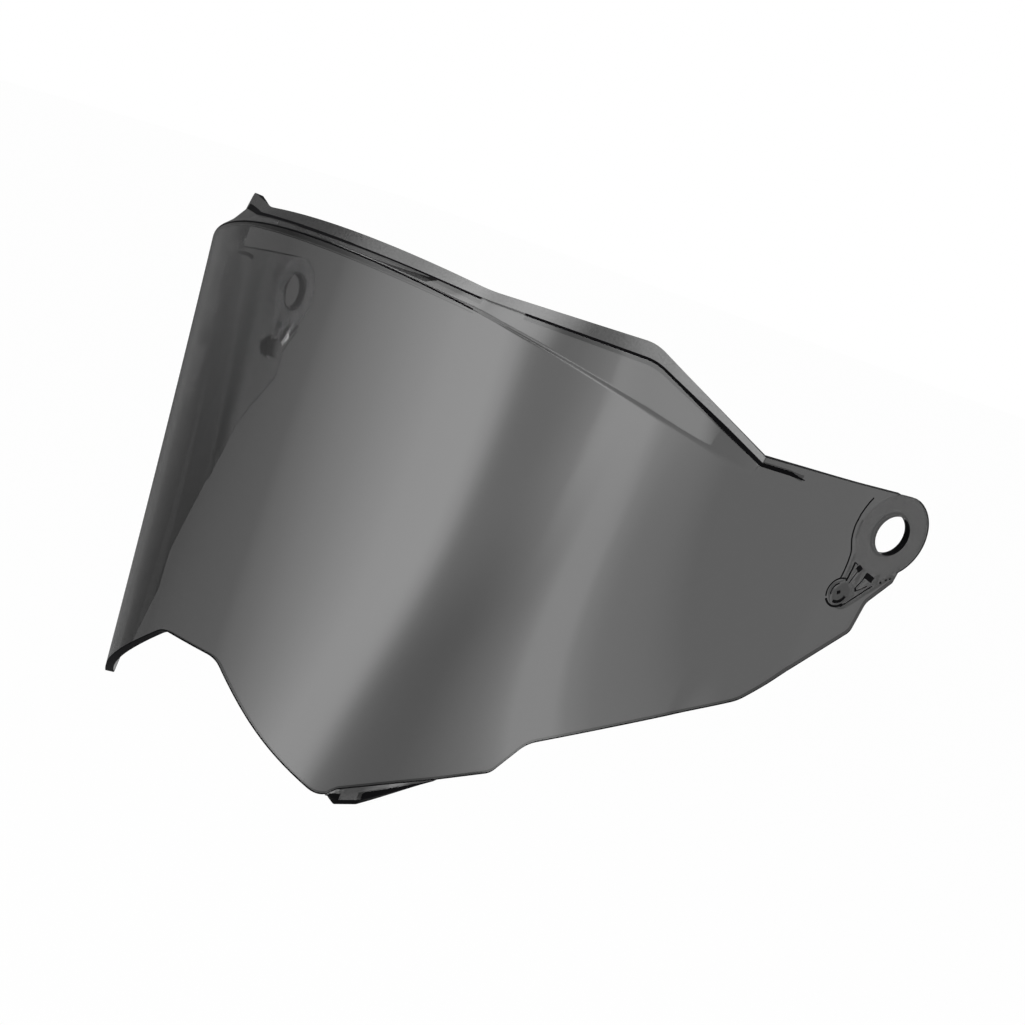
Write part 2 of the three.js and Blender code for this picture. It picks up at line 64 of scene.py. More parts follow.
class Shade:
    """An output of a node in a material, so that the maths of a finish is written as plain sums."""

    def __init__(self, tree, socket=None):
        self.tree = tree
        self.socket = socket

    def node(self, kind, settings, sockets, output=0):
        node = self.tree.nodes.new(kind)
        for name, value in settings.items():
            if name == "stops":
                ramp = node.color_ramp
                while len(ramp.elements) < len(value):
                    ramp.elements.new(1)
                for element, (place, level) in zip(ramp.elements, value):
                    element.position = place
                    element.color = (level, level, level, 1)
            else:
                setattr(node, name, value)
        for name, value in sockets.items():
            if isinstance(value, Shade):
                self.tree.links.new(value.socket, node.inputs[name])
            else:
                node.inputs[name].default_value = value
        return Shade(self.tree, node.outputs[output] if node.outputs else None)

    def sum_with(self, operation, first, second):
        return self.node("ShaderNodeMath", {"operation": operation}, {0: first, 1: second})

    def __add__(self, other):
        return self.sum_with("ADD", self, other)

    def __radd__(self, other):
        return self.sum_with("ADD", other, self)

    def __mul__(self, other):
        return self.sum_with("MULTIPLY", self, other)

    def __rmul__(self, other):
        return self.sum_with("MULTIPLY", other, self)

    def above(self, other):
        return self.sum_with("MAXIMUM", self, other)


def empty_tree(owner):
    owner.use_nodes = True
    owner.node_tree.nodes.clear()
    return Shade(owner.node_tree)


def where_seen(shade):
    seen, in_gloss, through_tint = (
        shade.node("ShaderNodeLightPath", {}, {}, ray)
        for ray in ("Is Camera Ray", "Is Glossy Ray", "Is Transmission Ray")
    )
    return seen.above(in_gloss).above(through_tint)


world = bpy.data.worlds.new("white_surround")
bpy.context.scene.world = world
shade = empty_tree(world)
strength = world_level + where_seen(shade) * (1 - world_level)
surround = shade.node("ShaderNodeBackground", {}, {"Color": (1, 1, 1, 1), "Strength": strength})
shade.node("ShaderNodeOutputWorld", {}, {"Surface": surround})

# The floor is a plain pale sheet well below the visor, which hangs free of it as in the photograph.
# It shows as white and keeps a little of the shadow.
floor_level = -0.62
floor_width = 30
floor_tone = (0.86, 0.86, 0.86, 1)
shadow_share = 0.03

bpy.ops.mesh.primitive_plane_add(size=floor_width, location=(0, 0, floor_level))
floor = bpy.context.object
floor.name = "floor"
floor_finish = bpy.data.materials.new("pale_floor")
shade = empty_tree(floor_finish)
pale = shade.node("ShaderNodeBsdfDiffuse", {}, {"Color": floor_tone})
glow = shade.node("ShaderNodeEmission", {}, {"Color": (1, 1, 1, 1), "Strength": 1})
white = where_seen(shade) * (1 - shadow_share)
mixed = shade.node("ShaderNodeMixShader", {}, {"Fac": white, 1: pale, 2: glow})
shade.node("ShaderNodeOutputMaterial", {}, {"Surface": mixed})
floor.data.materials.append(floor_finish)

# The light tent is a lit cloth curved round the front, one behind and a flat one overhead. The gloss of the
# visor shows their bands. A place on a curved cloth is given by its height angle and by the angle at which
# its slanting band crosses eye level. All angles are in degrees.
tent_radius = 1.0
tent_peak = 10.0
cloth_columns, cloth_rows = 130, 20
slant_start, slant_end, slant_top = -30, 15, 26


def hang_cloth(name, start, end, low, high, left_slant, right_slant):
    bpy.ops.mesh.primitive_grid_add(x_subdivisions=cloth_columns, y_subdivisions=cloth_rows, size=1)
    cloth = bpy.context.object
    cloth.name = name
    for vertex in cloth.data.vertices:
        band = math.radians(start + (end - start) * (vertex.co.x + 0.5))
        height = math.radians(low + (high - low) * (vertex.co.y + 0.5))
        across = min(max((math.degrees(band) - slant_start) / (slant_end - slant_start), 0), 1)
        slant = left_slant + (right_slant - left_slant) * across
        turn = band - slant * min(height, math.radians(slant_top))
        vertex.co = tent_radius * Vector(
            (math.sin(turn) * math.cos(height), -math.cos(turn) * math.cos(height), math.sin(height))
        )
    return cloth


def light_cloth(cloth, upper, lower, low_share):
    start, end = upper[0][0], upper[-1][0]
    finish = bpy.data.materials.new(cloth.name)
    shade = empty_tree(finish)
    place = shade.node("ShaderNodeUVMap", {"uv_map": cloth.data.uv_layers[0].name}, {})
    across = shade.node("ShaderNodeSeparateXYZ", {}, {"Vector": place}, "X")
    up = shade.node("ShaderNodeSeparateXYZ", {}, {"Vector": place}, "Y")
    ramps = []
    for levels in (upper, lower):
        stops = [((band - start) / (end - start), level / tent_peak) for band, level in levels]
        ramps.append(shade.node("ShaderNodeValToRGB", {"stops": stops}, {"Fac": across}))
    low = shade.node(
        "ShaderNodeMapRange",
        {"interpolation_type": "SMOOTHSTEP"},
        {"Value": up, "From Min": low_share[0], "From Max": low_share[1], "To Min": 1.0, "To Max": 0.0},
    )
    level = shade.node("ShaderNodeMix", {"data_type": "RGBA"}, {0: low, 6: ramps[0], 7: ramps[1]}, 2)
    glow = shade.node("ShaderNodeEmission", {}, {"Color": level, "Strength": tent_peak})
    shade.node("ShaderNodeOutputMaterial", {}, {"Surface": glow})
    cloth.data.materials.append(finish)
    cloth.visible_camera = False
    cloth.visible_transmission = False
    cloth.visible_diffuse = False
    cloth.visible_shadow = False


front_high = [
    (-152, 0.3), (-138, 0.28), (-128, 0.06), (-107, 0.2), (-62, 0.26), (-50, 0.5), (-40, 0.72), (-33, 0.9),
    (-28, 1.35), (-22, 1.75), (-15, 2.3), (-8, 2.8), (4, 3.85), (8.5, 4.3), (14, 4.5), (17, 4.5),
    (19, 3.7), (21, 2.1), (22.5, 1.55), (25, 1.48), (27, 1.6), (29, 2.0), (30.8, 2.5), (32.2, 3.9),
    (36, 3.98), (37.4, 3.9), (39, 2.75), (42, 2.45), (46, 2.1), (50, 1.55), (56, 1.3), (125, 1.0),
]
front_low = [
    (-152, 0.55), (-138, 0.45), (-126, 0.24), (-62, 0.28), (-50, 0.5), (-40, 0.78), (-33, 1.0), (-28, 1.4),
    (-22, 1.8), (-15, 2.4), (-8, 2.95), (-1, 3.6), (6, 4.2), (13.5, 4.2), (15.5, 3.95), (17.5, 3.0),
    (19.5, 1.7), (21.5, 1.1), (23.5, 0.82), (26, 0.7), (28, 0.8), (30, 1.2), (32, 1.7), (33.7, 2.3),
    (35.3, 3.4), (38.3, 3.4), (39.6, 2.5), (42, 1.9), (47, 1.65), (52, 1.2), (125, 1.0),
]
front_cloth = hang_cloth(
    "front_cloth", start=-152, end=125, low=-31, high=45, left_slant=0.1, right_slant=1.06
)
light_cloth(front_cloth, front_high, front_low, (0.12, 0.28))

back_levels = [(145, 6), (155, 9), (172, 9), (185, 6), (195, 3), (207, 0.4)]
back_cloth = hang_cloth("back_cloth", start=145, end=207, low=-30, high=30, left_slant=0, right_slant=0)
light_cloth(back_cloth, back_levels, back_levels, (0.2, 0.4))

top_height = 1.0
top_width = 2.4
top_turn = math.radians(-45)
top_levels = [
    (-1.2, 0.8), (-0.5, 1.6), (-0.35, 2.9), (-0.2, 3.5), (-0.09, 3.7), (-0.05, 3.3), (-0.02, 2.6),
    (0.01, 1.7), (0.03, 1.25), (0.06, 1.12), (0.13, 1.25), (0.26, 1.8), (0.33, 2.2), (0.36, 2.9),
    (0.4, 3.1), (0.6, 3.0), (0.72, 1.5), (0.8, 1.25), (1.2, 1.2),
]
bpy.ops.mesh.primitive_grid_add(
    x_subdivisions=2, y_subdivisions=2, size=top_width, location=(0, 0, top_height)
)
top_cloth = bpy.context.object
top_cloth.name = "top_cloth"
top_cloth.data.transform(Matrix.Rotation(top_turn, 4, "Z"))
light_cloth(top_cloth, top_levels, top_levels, (0.2, 0.4))

# Two soft lamps, above the front and behind, light the visor at a plain level.
# The camera, the gloss and the tint don't see them, so they leave no spots on it.
lamp_width = 1.2

for name, place, watts in (
    ("front_lamp", (0.5, -1.2, 1.6), 14),
    ("back_lamp", (-0.8, 1.3, 1.4), 8),
):
    bpy.ops.object.light_add(type="AREA", location=place)
    lamp = bpy.context.object
    lamp.name = name
    lamp.data.size = lamp_width
    lamp.data.energy = watts
    lamp.rotation_euler = (-Vector(place)).to_track_quat("-Z", "Y").to_euler()
    lamp.visible_glossy = False
    lamp.visible_camera = False
    lamp.visible_transmission = False

# The shield is one injection-moulded sheet of smoke-tinted polycarbonate with a hard coat: the wall, the
# brow shelf with its upright lip, both arms, the nose notch, the two lobes and the finger tab.
# Its cut edges and gate side are trimmed flat, and look black because the tint is deep along the sheet.
sheet = 0.0022
pivot_span = 0.240
brow_rise = 0.0265
lobe_drop = 0.105
lobe_plan = {"nose": 0.1105, "nose_handle": 0.036, "cheek": 0.0885, "cheek_handle": 0.087, "turn": 36.5}
brow_plan = {"nose": 0.103, "nose_handle": 0.047, "cheek": 0.1113, "cheek_handle": 0.027, "turn": 21}
cheek_setback = 0.0345
bend_handle = 0.0075
arm_setback = 0.013
arm_reach = 0.030
flare = math.radians(14)
lean = math.tan(math.radians(6.8))
arm_top = 0.0108
disc_radius = 0.0113
bore_radius = 0.0054
edge_strip = 0.0004
edge_step = 0.0012
round_steps = 8
halvings = 40


def plan_pieces(plan, level):
    turn = math.radians(plan["turn"])
    cheek_way = Vector((math.sin(turn), math.cos(turn)))
    arm_way = Vector((math.sin(flare), math.cos(flare)))
    nose = Vector((0, -plan["nose"]))
    cheek = Vector((plan["cheek"], -cheek_setback))
    arm = Vector((pivot_span / 2 - arm_setback * math.tan(flare) + level * lean, -arm_setback))
    return (
        (nose, Vector((plan["nose_handle"], nose.y)), cheek - cheek_way * plan["cheek_handle"], cheek),
        (cheek, cheek + cheek_way * bend_handle, arm - arm_way * bend_handle, arm),
        (arm, arm + arm_way * arm_reach / 3, arm + arm_way * arm_reach * 2 / 3, arm + arm_way * arm_reach),
    )


def on_curve(points, share):
    rest = 1 - share
    start, near, far, end = points
    return start * rest**3 + near * (3 * rest**2 * share) + far * (3 * rest * share**2) + end * share**3


lobe_pieces = plan_pieces(lobe_plan, -lobe_drop)
brow_pieces = plan_pieces(brow_plan, brow_rise)
piece_count = len(lobe_pieces)


# A station is a place along the wall: 0 at the nose, then 1, 2 and 3 at the ends of the plan's pieces.
def wall_point(station, level):
    run = min(abs(station), piece_count)
    piece = min(int(run), piece_count - 1)
    low = on_curve(lobe_pieces[piece], run - piece)
    high = on_curve(brow_pieces[piece], run - piece)
    plan = low.lerp(high, (level + lobe_drop) / (brow_rise + lobe_drop))
    return Vector((-plan.x if station < 0 else plan.x, plan.y, level))


def station_at(axis, value, level):
    low, high = 0, piece_count
    for halving in range(halvings):
        middle = (low + high) / 2
        if wall_point(middle, level)[axis] < value:
            low = middle
        else:
            high = middle
    return (low + high) / 2


def along_edge(start, end, axis, share):
    first = wall_point(*start)[axis]
    last = wall_point(*end)[axis]
    level = start[1] + (end[1] - start[1]) * share
    return station_at(axis, first + (last - first) * share, level), level


def edge_length(start, end):
    return (wall_point(*end) - wall_point(*start)).length


def corner(axis, at, level, rounding):
    return {"place": (station_at(axis, at, level), level), "rounding": rounding, "axis": axis}


def rounded_edge(corners):
    path = [corners[0]["place"]]
    for index in range(1, len(corners)):
        start, end = corners[index - 1], corners[index]
        axis = max(start["axis"], end["axis"])
        length = edge_length(start["place"], end["place"])
        first = start["rounding"] / length
        last = 1 - end["rounding"] / length
        steps = max(1, math.ceil(length * (last - first) / edge_step))
        for step in range(steps + 1):
            share = first + (last - first) * step / steps
            point = along_edge(start["place"], end["place"], axis, share)
            if point[0] > path[-1][0]:
                path.append(point)
        if index + 1 < len(corners) and end["rounding"] > 0:
            after = corners[index + 1]
            arriving = Vector(path[-1])
            bend = Vector(end["place"])
            share = end["rounding"] / edge_length(end["place"], after["place"])
            axis = max(end["axis"], after["axis"])
            leaving = Vector(along_edge(end["place"], after["place"], axis, share))
            for step in range(1, round_steps):
                share = step / round_steps
                turned = arriving.lerp(bend, share).lerp(bend.lerp(leaving, share), share)
                path.append((turned.x, turned.y))
    return path


arm_along = Vector((math.sin(flare), math.cos(flare), 0))
arm_out = arm_along.cross(Vector((lean, 0, 1))).normalized()
arm_up = arm_out.cross(arm_along)
left_pivot = Matrix((arm_along, arm_up, arm_out)).transposed().to_4x4()
left_pivot.translation = Vector((pivot_span / 2, 0, 0))
arm_pivots = {"left": left_pivot, "right": Matrix.Scale(-1, 4, (1, 0, 0)) @ left_pivot}


def on_arm(along, up):
    point = left_pivot @ Vector((along, up, 0))
    return station_at(1, point.y, point.z), point.z


notch_half, notch_level = 0.0108, -0.0817
lobe_tip_half, lobe_tip_level = 0.0438, -0.105
lobe_end_half, lobe_end_level = 0.0707, -0.0869
lower_edge = rounded_edge([
    corner(0, 0, notch_level, 0),
    corner(0, notch_half, notch_level, 0.003),
    corner(0, lobe_tip_half, lobe_tip_level, 0.0025),
    corner(0, lobe_end_half, lobe_end_level, 0.0014),
    corner(1, -0.0591, -0.0769, 0.0025),
    corner(1, -0.022, -0.0512, 0.0018),
    corner(1, -0.0141, -0.0413, 0.002),
    corner(1, 0.0005, -0.027, 0.0012),
    corner(1, 0.0013, -0.0186, 0.0012),
    corner(1, 0.0071, -0.0114, 0.0007),
])

flank_end = 0.0416
flank_foot = 0.002
disc_start, disc_end = 90, 6
disc_steps = 40
flank_station = station_at(1, -flank_end, arm_top)
arm_edge = [(flank_station, arm_top)]
for step in range(disc_steps + 1):
    angle = math.radians(disc_start + (disc_end - disc_start) * step / disc_steps)
    along, up = disc_radius * math.cos(angle), disc_radius * math.sin(angle)
    below = on_arm(along, -up)
    if below[0] > lower_edge[-1][0]:
        lower_edge.append(below)
    arm_edge.append(on_arm(along, min(up, arm_top / arm_up.z)))


def level_at(path, station):
    for before, after in zip(path, path[1:]):
        if before[0] <= station <= after[0] and after[0] > before[0]:
            return before[1] + (after[1] - before[1]) * (station - before[0]) / (after[0] - before[0])
    return path[0][1] if station < path[0][0] else path[-1][1]


# The finger tab is a flange moulded in one with the left lobe, and turns outward along its edge. The ends
# are trimmed and look black. Half is the distance from the visor's middle.
tab_rise = 0.0012
tab_cut_share = 0.55
tab_places = [
    {"half": 0.0454, "reach": 0.00035, "turn": 0},
    {"half": 0.0477, "reach": 0.0039, "turn": 60},
    {"half": 0.0513, "reach": 0.0047, "turn": 60},
    {"half": 0.0622, "reach": 0.00035, "turn": 30},
]
for tab_place in tab_places:
    share = (tab_place["half"] - lobe_tip_half) / (lobe_end_half - lobe_tip_half)
    level = lobe_tip_level + (lobe_end_level - lobe_tip_level) * share
    tab_place["station"] = station_at(0, tab_place["half"], level)
tab_first, tab_last = tab_places[0], tab_places[-1]


def edge_level(station):
    level = level_at(lower_edge, abs(station))
    half = wall_point(station, level).x
    rise = tab_rise * (tab_last["half"] - half) / (tab_last["half"] - tab_first["half"])
    return level + max(min(half - tab_first["half"], rise), 0)


# The brow is moulded in one with the wall: its crease, the shelf behind it and the lip that stands on the
# shelf. The lip has a fine texture, and black lines of painted shade run along its foot and along the
# crease.
crease_crown = 0.0268
crease_fall = 0.0162
crease_fall_width = 0.0925
kink_half, kink_level = 0.0440, 0.0238
brow_corner_half, brow_corner_level = 0.0832, 0.01235
soft_share = 0.02
soft_samples = 12
arm_line_drop, arm_line_run = 0.016, 0.25
kink_station = station_at(0, kink_half, kink_level)
corner_station = station_at(0, brow_corner_half, brow_corner_level)
lip_foot = [
    Vector((0, -0.096, 0.0276)),
    Vector((0.0429, -0.0898, 0.026)),
    Vector((0.0788, -0.0614, 0.0247)),
    wall_point(flank_station, arm_top - flank_foot),
]
lip_top = [
    Vector((0, -0.0932, 0.0308)),
    Vector((0.0423, -0.0869, 0.0285)),
    Vector((0.0775, -0.062, 0.029)),
    wall_point(flank_station, arm_top),
]


def brow_line(station, places):
    nose, kink, brow_corner, end = places
    run = abs(station)
    if run < kink_station:
        share = run / kink_station
        point = nose.lerp(kink, share * share)
        point.x = kink.x * share
    elif run < corner_station:
        point = kink.lerp(brow_corner, (run - kink_station) / (corner_station - kink_station))
    else:
        point = brow_corner.lerp(end, (run - corner_station) / (flank_station - corner_station))
    return Vector((-point.x, point.y, point.z)) if station < 0 else point


def soft_brow_line(station, places):
    reach = min(soft_share, flank_station - abs(station))
    total = Vector((0, 0, 0))
    for sample in range(soft_samples + 1):
        total += brow_line(station + reach * (2 * sample / soft_samples - 1), places)
    return total / (soft_samples + 1)


def crease_level(station):
    half = wall_point(abs(station), brow_rise / 2).x
    return crease_crown - crease_fall * (half / crease_fall_width) ** 2


flank_low = level_at(lower_edge, flank_station)
crease_share = (crease_level(flank_station) - flank_low) / (arm_top - flank_low)
foot_share = (arm_top - flank_foot - flank_low) / (arm_top - flank_low)


def brow_section(station, low_level):
    if abs(station) < flank_station:
        return [
            wall_point(station, crease_level(station)),
            soft_brow_line(station, lip_foot),
            soft_brow_line(station, lip_top),
        ]
    top_level = level_at(arm_edge, abs(station))
    drop = arm_line_drop * min((abs(station) - flank_station) / arm_line_run, 1)
    return [
        wall_point(station, low_level + (top_level - low_level) * share)
        for share in (crease_share - drop, foot_share - drop, 1)
    ]


wall_rows = 24
marks = [station for station, level in lower_edge + arm_edge]
for bend_station in (kink_station, corner_station):
    marks += [bend_station - soft_share, bend_station, bend_station + soft_share]
marks += [tab_place["station"] for tab_place in tab_places]
last_station = min(lower_edge[-1][0], arm_edge[-1][0])
least_gap = 0.0006
half_stations = [0]
for mark in sorted(mark for mark in marks if 0 < mark < last_station - least_gap) + [last_station]:
    if mark - half_stations[-1] > least_gap:
        half_stations.append(mark)
stations = [-station for station in reversed(half_stations[1:])] + half_stations


def sharp_section(station):
    low_level = edge_level(station)
    crease, foot, top = brow_section(station, low_level)
    rows = [
        wall_point(station, low_level + (crease.z - low_level) * row / wall_rows) for row in range(wall_rows)
    ]
    return rows + [crease, foot, top]


def inner_sections(sections):
    inner = []
    for index, section in enumerate(sections):
        before = sections[max(index - 1, 0)]
        after = sections[min(index + 1, len(sections) - 1)]
        inside = []
        for row, point in enumerate(section):
            across = after[row] - before[row]
            below = point - section[max(row - 1, 0)]
            above = section[min(row + 1, len(section) - 1)] - point
            low_normal = across.cross(above if row == 0 else below).normalized()
            high_normal = across.cross(below if row == len(section) - 1 else above).normalized()
            normal = (low_normal + high_normal).normalized()
            inside.append(point - normal * (sheet / normal.dot(low_normal)))
        inner.append(inside)
    return inner


bend_steps = 5
bend_support = 0.0004
low_strip_most, high_strip_most = 0.5, 0.4


def rounded_bend(before, bend, after, radius):
    room = min((bend - before).length, (bend - after).length) / 3
    reach = min(radius, room)
    start = bend + (before - bend).normalized() * reach
    end = bend + (after - bend).normalized() * reach
    support = min(bend_support, room / 2)
    points = [start + (before - bend).normalized() * support]
    for step in range(bend_steps + 1):
        share = step / bend_steps
        points.append(start.lerp(bend, share).lerp(bend.lerp(end, share), share))
    points.append(end + (after - bend).normalized() * support)
    return points


def finished_section(section, crease_radius, foot_radius):
    wall, crease, foot, top = section[:wall_rows], section[-3], section[-2], section[-1]
    rise, fall = wall[1] - wall[0], foot - top
    low_strip = wall[0] + rise * min(edge_strip / rise.length, low_strip_most)
    high_strip = top + fall * min(edge_strip / fall.length, high_strip_most)
    return (
        [wall[0], low_strip]
        + wall[1:]
        + rounded_bend(wall[-1], crease, foot, crease_radius)
        + rounded_bend(crease, foot, high_strip, foot_radius)
        + [high_strip, top]
    )


def tab_at(station):
    for first, second in zip(tab_places, tab_places[1:]):
        if first["station"] <= station <= second["station"]:
            share = (station - first["station"]) / (second["station"] - first["station"])
            return (
                first["reach"] + (second["reach"] - first["reach"]) * share,
                math.radians(first["turn"] + (second["turn"] - first["turn"]) * share),
            )
    return None


outer_crease_bend, inner_crease_bend, inner_foot_bend = 0.0006, 0.0004, 0.0016
near_foot_bend, far_foot_bend, far_foot_spread, far_foot_run = 0.0004, 0.0005, 0.0004, 0.5
flank_foot_spread = 0.0006
arm_foot_bend, arm_foot_fall, arm_foot_least = 0.0008, 0.0025, 0.0001


def outer_foot_bend(station):
    run = abs(station)
    if run > flank_station:
        return max(arm_foot_bend - arm_foot_fall * (run - flank_station), arm_foot_least)
    bend = near_foot_bend if station > 0 else far_foot_bend + far_foot_spread * min(run / far_foot_run, 1)
    if run > corner_station:
        bend += flank_foot_spread * (run - corner_station) / (flank_station - corner_station)
    return bend


sharp_outer = [sharp_section(station) for station in stations]
sharp_inner = inner_sections(sharp_outer)
outer_columns, inner_columns = [], []
for index, station in enumerate(stations):
    outer = finished_section(sharp_outer[index], outer_crease_bend, outer_foot_bend(station))
    inner = finished_section(sharp_inner[index], inner_crease_bend, inner_foot_bend)
    tip_outer, tip_inner = outer[0], inner[0]
    tab = tab_at(station)
    if tab:
        reach, turn = tab
        rise = (outer[1] - outer[0]).normalized()
        out = (outer[0] - inner[0]).normalized()
        flange = out * math.sin(turn) - rise * math.cos(turn)
        under = -rise * math.sin(turn) - out * math.cos(turn)
        tip_outer = outer[0] + flange * reach
        tip_inner = tip_outer + under * sheet
        inner[0] = outer[0] + (under - out) * (sheet / (1 + math.cos(turn)))
    outer_columns.append([tip_outer, tip_outer.lerp(outer[0], tab_cut_share)] + outer)
    inner_columns.append([tip_inner, tip_inner.lerp(inner[0], tab_cut_share)] + inner)

column_count, row_count = len(stations), len(outer_columns[0])
bpy.ops.mesh.primitive_grid_add(x_subdivisions=column_count - 1, y_subdivisions=row_count - 1, size=1)
shield = bpy.context.object
shield.name = "tinted_shield"

# The black lines and edges are narrow rows of faces; the lines along the lip's foot and the crease are
# painted shade. Solidify gives each rim face the slot after that of the face beside it, so the slots are
# smoke, its dark rim, the lip, the lip's dark rim and the lines' dark rim.
smoke_slot, rim_slot, lip_slot, line_slot = 0, 1, 2, 3
edge_row = 2
crease_row = wall_rows + 4
crease_shade_rows = 2
foot_row = crease_row + bend_steps + 3
lip_row = foot_row + bend_steps
line_start_half, line_end_setback = 0.056, 0.030
line_start_station = station_at(0, line_start_half, brow_rise)
line_end_station = station_at(1, -line_end_setback, arm_top)
for polygon in shield.data.polygons:
    column = int((polygon.center.x + 0.5) * (column_count - 1))
    row = int((polygon.center.y + 0.5) * (row_count - 1))
    station = (stations[column] + stations[column + 1]) / 2
    # Painted shade: the black lines along the lip's foot and the crease are laid only over the stretches
    # where they show dark, not all round.
    on_foot_shade_line = (
        foot_row <= row < lip_row
        and abs(station) < line_end_station
        and not kink_station < station < line_start_station
    )
    on_crease_shade_line = (
        crease_row <= row < crease_row + crease_shade_rows and -flank_station < station < kink_station
    )
    on_tab_cut = row == 0 and (
        tab_first["station"] < station < tab_places[1]["station"]
        or tab_places[2]["station"] < station < tab_last["station"]
    )
    on_edge = row == edge_row or (row == row_count - 2 and station < -flank_station)
    if on_foot_shade_line or on_crease_shade_line or on_tab_cut or on_edge:
        polygon.material_index = line_slot
    elif row >= lip_row and abs(station) < flank_station:
        polygon.material_index = lip_slot
places = []
for vertex in shield.data.vertices:
    column = round((vertex.co.x + 0.5) * (column_count - 1))
    row = round((vertex.co.y + 0.5) * (row_count - 1))
    places.append((column, row))
    vertex.co = outer_columns[column][row]
thicken = shield.modifiers.new("sheet", "SOLIDIFY")
thicken.thickness = sheet
thicken.offset = -1
thicken.material_offset_rim = 1


def finish_dark(name, tone, roughness, spread, ior, grain_scale, grain_strength):
    finish = bpy.data.materials.new(name)
    shade = empty_tree(finish)
    place = shade.node("ShaderNodeTexCoord", {}, {}, "Object")
    grain = shade.node("ShaderNodeTexNoise", {}, {"Vector": place, "Scale": grain_scale, "Detail": 3})
    bump = shade.node(
        "ShaderNodeBump", {}, {"Height": grain, "Strength": grain_strength, "Distance": 0.0001}
    )
    plastic = shade.node(
        "ShaderNodeBsdfPrincipled",
        {},
        {"Base Color": (*tone, 1), "Roughness": roughness + grain * spread, "IOR": ior, "Normal": bump},
    )
    shade.node("ShaderNodeOutputMaterial", {}, {"Surface": plastic})
    return finish


def finish_smoke(name, tint, roughness):
    finish = bpy.data.materials.new(name)
    shade = empty_tree(finish)
    place = shade.node("ShaderNodeTexCoord", {}, {}, "Object")
    haze = shade.node("ShaderNodeTexNoise", {}, {"Vector": place, "Scale": 35, "Detail": 4})
    plastic = shade.node(
        "ShaderNodeBsdfPrincipled",
        {},
        {
            "Base Color": (tint, tint, tint, 1),
            "Roughness": roughness + haze * 0.03,
            "IOR": 1.58,
            "Transmission Weight": 1.0,
        },
    )
    shade.node("ShaderNodeOutputMaterial", {}, {"Surface": plastic})
    return finish


lip_span = 0.2


def finish_lip():
    finish = bpy.data.materials.new("textured_lip")
    shade = empty_tree(finish)
    place = shade.node("ShaderNodeTexCoord", {}, {}, "Object")
    grain = shade.node("ShaderNodeTexNoise", {}, {"Vector": place, "Scale": 1400, "Detail": 3})
    patch = shade.node("ShaderNodeTexNoise", {}, {"Vector": place, "Scale": 60, "Detail": 2})
    across = shade.node("ShaderNodeSeparateXYZ", {}, {"Vector": place}, "X")
    # Painted highlights and shade: the lip's tone is black across the far side and the middle, and rises in
    # light bands on the near side with a dark gap between them. The grain added to it is the lip's own
    # texture.
    painted_light_across_lip = shade.node(
        "ShaderNodeValToRGB",
        {"stops": [
            (0.6, 0.0), (0.65, 0.05), (0.7, 0.13), (0.775, 0.16), (0.8, 0.1), (0.8225, 0.0),
            (0.85, 0.01), (0.88, 0.08), (0.925, 0.15), (1.0, 0.13),
        ]},
        {"Fac": across * (1 / lip_span) + 0.5},
    )
    tone = painted_light_across_lip + grain * 0.04
    bump = shade.node("ShaderNodeBump", {}, {"Height": grain, "Strength": 0.45, "Distance": 0.00012})
    plastic = shade.node(
        "ShaderNodeBsdfPrincipled",
        {},
        {
            "Base Color": shade.node("ShaderNodeCombineColor", {}, {0: tone, 1: tone, 2: tone}),
            "Roughness": 0.2 + patch * 0.16,
            "IOR": 1.58,
            "Normal": bump,
        },
    )
    shade.node("ShaderNodeOutputMaterial", {}, {"Surface": plastic})
    return finish


def add_finishes(piece, *finishes):
    for finish in finishes:
        piece.data.materials.append(finish)


smoke = finish_smoke("smoke_sheet", tint=0.055, roughness=0.0)
# This near-black finish is used on the trimmed edges and also for the painted shade: the black lines along
# the crease and the lip's foot, and the shadow strips on the arms.
dark_edge_and_painted_shade = finish_dark(
    "trimmed_edge", (0.004, 0.004, 0.0045), roughness=0.5, spread=0.16, ior=1.06,
    grain_scale=900, grain_strength=0.12,
)
add_finishes(shield, smoke, dark_edge_and_painted_shade, finish_lip(), dark_edge_and_painted_shade, dark_edge_and_painted_shade)
bpy.ops.object.modifier_apply(modifier="sheet")
outer_count = len(places)
merge_gap = 0.00001
for index, (column, row) in enumerate(places):
    shield.data.vertices[outer_count + index].co = inner_columns[column][row]
bpy.ops.object.mode_set(mode="EDIT")
bpy.ops.mesh.select_all(action="SELECT")
bpy.ops.mesh.remove_doubles(threshold=merge_gap)
bpy.ops.object.mode_set(mode="OBJECT")

# The pivot holes are bored through both arms, and a seat for the pivot plate is sunk in each inner face.
# The bore is a cut through the tinted sheet, so its side is black as the trimmed edges are.
skin = 0.0008
seat_gap = 0.0001
pad_radius = 0.011
peg_place = Vector((-0.0069, -0.0182))
web_corner = Vector((0.0071, -0.0108))
boss_radius = 0.0037
strut_offset = 0.0017
cutter_overlap = 0.001
cutter_reach = 0.006
cut_merge_gap = 0.000001
bore_steps = 96
rim_steps = 40
boss_rim_steps = 30


def arc(centre, radius, start, end, steps):
    return [
        centre + radius * Vector((math.cos(turn), math.sin(turn)))
        for turn in (start + (end - start) * step / steps for step in range(steps + 1))
    ]


def lay_on_arm(piece, pivot):
    piece.data.transform(pivot)
    if pivot.is_negative:
        piece.data.flip_normals()


def ring(centre, radius, steps):
    return arc(centre, radius, 0, 2 * math.pi * (steps - 1) / steps, steps - 1)


